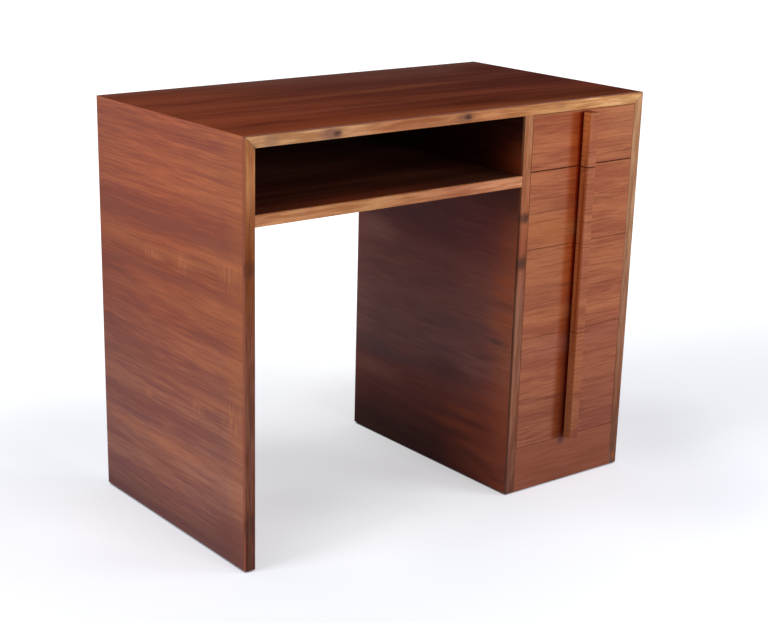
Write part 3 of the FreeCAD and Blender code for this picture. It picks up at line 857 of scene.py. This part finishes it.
def lamp(name, place, aim, size, power):
    """A soft square lamp that looks from one place at another."""
    light = bpy.data.lights.new(name, "AREA")
    light.size = size
    light.energy = power
    holder = bpy.data.objects.new(name, light)
    bpy.context.scene.collection.objects.link(holder)
    holder.location = place
    holder.rotation_euler = (Vector(aim) - Vector(place)).to_track_quat("-Z", "Y").to_euler()


def seen_directly(tree):
    """1 for rays from the camera, in a mirror or through glass, and 0 for light that falls on things."""
    path = node(tree, "ShaderNodeLightPath")
    either = node(
        tree, "ShaderNodeMath", {"operation": "MAXIMUM"},
        {0: (path, "Is Camera Ray"), 1: (path, "Is Glossy Ray")},
    )
    either = node(
        tree, "ShaderNodeMath", {"operation": "MAXIMUM"},
        {0: (either, 0), 1: (path, "Is Transmission Ray")},
    )
    return either, 0


def white_surroundings(ambient):
    """A world that looks white and gives only a little light."""
    world = bpy.data.worlds.new("studio surroundings")
    bpy.context.scene.world = world
    world.use_nodes = True
    tree = world.node_tree
    tree.nodes.clear()
    light = node(tree, "ShaderNodeBackground", {}, {"Color": (1, 1, 1, 1), "Strength": ambient})
    backdrop = node(tree, "ShaderNodeBackground", {}, {"Color": (1, 1, 1, 1), "Strength": 1.0})
    mixed = node(tree, "ShaderNodeMixShader", {}, {0: seen_directly(tree), 1: (light, 0), 2: (backdrop, 0)})
    node(tree, "ShaderNodeOutputWorld", {}, {"Surface": (mixed, 0)})


def floor_material(colour, centre, turn, stretch, near, far):
    """Pale matt paint, which keeps the desk's soft shadow, lit from within so that it fades to white."""
    made, tree, shader = start_material("pale painted floor")
    shader.inputs["Base Color"].default_value = colour
    shader.inputs["Roughness"].default_value = 0.9
    shader.inputs["Specular IOR Level"].default_value = 0.0
    spot = node(tree, "ShaderNodeTexCoord"), "Object"
    sockets = {"Vector": spot, "Location": centre, "Rotation": (0, 0, turn), "Scale": (stretch, 1, 1)}
    pool = node(tree, "ShaderNodeMapping", {"vector_type": "TEXTURE"}, sockets)
    reach = node(tree, "ShaderNodeVectorMath", {"operation": "LENGTH"}, {0: (pool, 0)})
    sockets = {"Value": (reach, "Value"), "From Min": near, "From Max": far, "To Min": POOL_BRIGHTNESS}
    glow = node(tree, "ShaderNodeMapRange", {"interpolation_type": "SMOOTHSTEP"}, sockets), 0
    away = node(tree, "ShaderNodeVectorMath", {"operation": "LENGTH"}, {0: spot})
    fade = node(
        tree, "ShaderNodeMapRange", {"interpolation_type": "SMOOTHSTEP"},
        {"Value": (away, "Value"), "From Min": FADE_START, "From Max": FADE_END},
    )
    glow = node(tree, "ShaderNodeMath", {"operation": "MAXIMUM"}, {0: glow, 1: (fade, 0)}), 0
    # Smaller patches of light and of shadow, as (x, y), (half length, half width), strength
    for middle, reach, more in (
        ((110, 270), (290, 330), 0.07), ((-190, -20), (180, 130), -0.05), ((-120, -225), (330, 150), 0.085),
        ((470, -470), (320, 300), -0.085), ((-420, 620), (260, 320), -0.06), ((-650, 90), (220, 200), 0.045),
        ((260, 560), (220, 200), 0.05), ((700, -90), (260, 200), -0.07), ((-250, -320), (200, 200), 0.04),
        ((70, -140), (120, 120), 0.035), ((600, -240), (220, 150), -0.06),
    ):
        spill = oval_mark(tree, spot, *through(THROUGH_FLOOR, middle, reach))
        glow = node(tree, "ShaderNodeMath", {"operation": "MULTIPLY_ADD"}, {0: spill, 1: more, 2: glow}), 0
    # No glow reaches the floor under the left side and the pedestal, but for a rim of a few millimetres
    rim_x, rim_y, soft_x, soft_y = 2, 4.5, 3, 5
    deep = slice_mark(tree, spot, (0, 1, 0), (BACK + FRONT) / 2, (BACK - FRONT) / 2 - rim_y, soft_y)
    for start, end in ((LEFT, CUBBY_LEFT), (DIVIDER_LEFT, RIGHT)):
        wide = slice_mark(tree, spot, (1, 0, 0), (start + end) / 2, (end - start) / 2 - rim_x, soft_x)
        under = node(tree, "ShaderNodeMath", {"operation": "MULTIPLY"}, {0: deep, 1: wide}), 0
        open_floor = node(tree, "ShaderNodeMath", {"operation": "SUBTRACT"}, {0: 1.0, 1: under}), 0
        glow = node(tree, "ShaderNodeMath", {"operation": "MULTIPLY"}, {0: glow, 1: open_floor}), 0
    shown = node(tree, "ShaderNodeMath", {"operation": "MULTIPLY"}, {0: glow, 1: seen_directly(tree)}), 0
    white = node(tree, "ShaderNodeEmission", {}, {"Strength": shown})
    both = node(tree, "ShaderNodeAddShader", {}, {0: (shader, 0), 1: (white, 0)})
    output = next(n for n in tree.nodes if n.type == "OUTPUT_MATERIAL")
    tree.links.new(both.outputs[0], output.inputs["Surface"])
    return made


def round_floor(radius):
    """A flat round floor at z = 0."""
    mesh = bpy.data.meshes.new("studio_floor")
    shape = bmesh.new()
    bmesh.ops.create_circle(shape, cap_ends=True, segments=96, radius=radius)
    shape.to_mesh(mesh)
    shape.free()
    floor = bpy.data.objects.new("studio_floor", mesh)
    bpy.context.scene.collection.objects.link(floor)
    return floor


def photo_camera():
    """The camera of the picture: a short telephoto, a little above the desk, at its left front."""
    # Fitted to the desk's corners in a picture 768 pixels wide. The angles are in degrees, and the shift is a
    # share of the picture's width.
    focal_length_px, picture_width_px = 1582.1, 768
    place, shift = (-1.8025, -2.2921, 1.2047), (0.0643, 0.0633)
    heading, downward, lean = -36.676, 18.332, 0.925
    data = bpy.data.cameras.new("camera")
    data.sensor_width = 36.0
    data.lens = focal_length_px / picture_width_px * data.sensor_width
    data.shift_x, data.shift_y = shift
    data.clip_end = 100.0
    camera = bpy.data.objects.new("camera", data)
    bpy.context.scene.collection.objects.link(camera)
    turn = Matrix.Rotation(math.radians(heading), 4, "Z")
    tip = Matrix.Rotation(math.radians(90 - downward), 4, "X")
    roll = Matrix.Rotation(math.radians(lean), 4, "Z")
    camera.matrix_world = Matrix.Translation(place) @ turn @ tip @ roll
    bpy.context.scene.camera = camera


class DESK_OT_stage(bpy.types.Operator):
    """Sets up the floor, the light and the camera"""

    bl_idname = "desk.stage"
    bl_label = "Studio"

    def execute(self, context):
        studio = context.scene.desk_studio
        floor = round_floor(studio.floor_radius)
        floor.data.materials.append(floor_material(studio.floor_colour, **POOL))
        # The lamps' names, places, what they look at, their sides and their powers
        for name, place, aim, size, power in (
            ("key lamp", (1.2, -1.5, 0.9), (0.1, -0.1, 0.45), 0.8, studio.key_power),
            ("front lamp", (0.2, -2.4, 0.8), (0.0, 0.0, 0.45), 0.9, studio.front_power),
            ("side lamp", (-2.4, 0.0, 1.2), (0.0, 0.0, 0.45), 1.0, studio.side_power),
        ):
            lamp(name, place, aim, size, power)
        white_surroundings(studio.ambient)
        photo_camera()
        context.scene.view_settings.view_transform = "Standard"
        return {"FINISHED"}


STEPS = (
    DESK_OT_top,
    DESK_OT_sides,
    DESK_OT_inner_boards,
    DESK_OT_edge_strips,
    DESK_OT_drawer_fronts,
    DESK_OT_handles,
    DESK_OT_drawer_boxes,
    DESK_OT_rails,
    DESK_OT_fastenings,
    DESK_OT_stage,
)


class DESK_PT_panel(bpy.types.Panel):
    """Lists the desk's settings and its steps"""

    bl_idname = "DESK_PT_panel"
    bl_label = "Desk"
    bl_space_type = "VIEW_3D"
    bl_region_type = "UI"
    bl_category = "Desk"

    def draw(self, context):
        for settings in (context.scene.desk_finish, context.scene.desk_studio):
            for name in settings.__annotations__:
                self.layout.prop(settings, name)
        for step in STEPS:
            self.layout.operator(step.bl_idname)


CLASSES = (DeskFinish, DeskStudio, *STEPS, DESK_PT_panel)


def register():
    for made in CLASSES:
        bpy.utils.register_class(made)
    bpy.types.Scene.desk_finish = PointerProperty(type=DeskFinish)
    bpy.types.Scene.desk_studio = PointerProperty(type=DeskStudio)


def unregister():
    del bpy.types.Scene.desk_studio
    del bpy.types.Scene.desk_finish
    for made in reversed(CLASSES):
        bpy.utils.unregister_class(made)


def main():
    """Dresses the desk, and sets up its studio."""
    register()
    for step in STEPS:
        group, name = step.bl_idname.split(".")
        getattr(getattr(bpy.ops, group), name)()


if __name__ == "__main__":
    main()
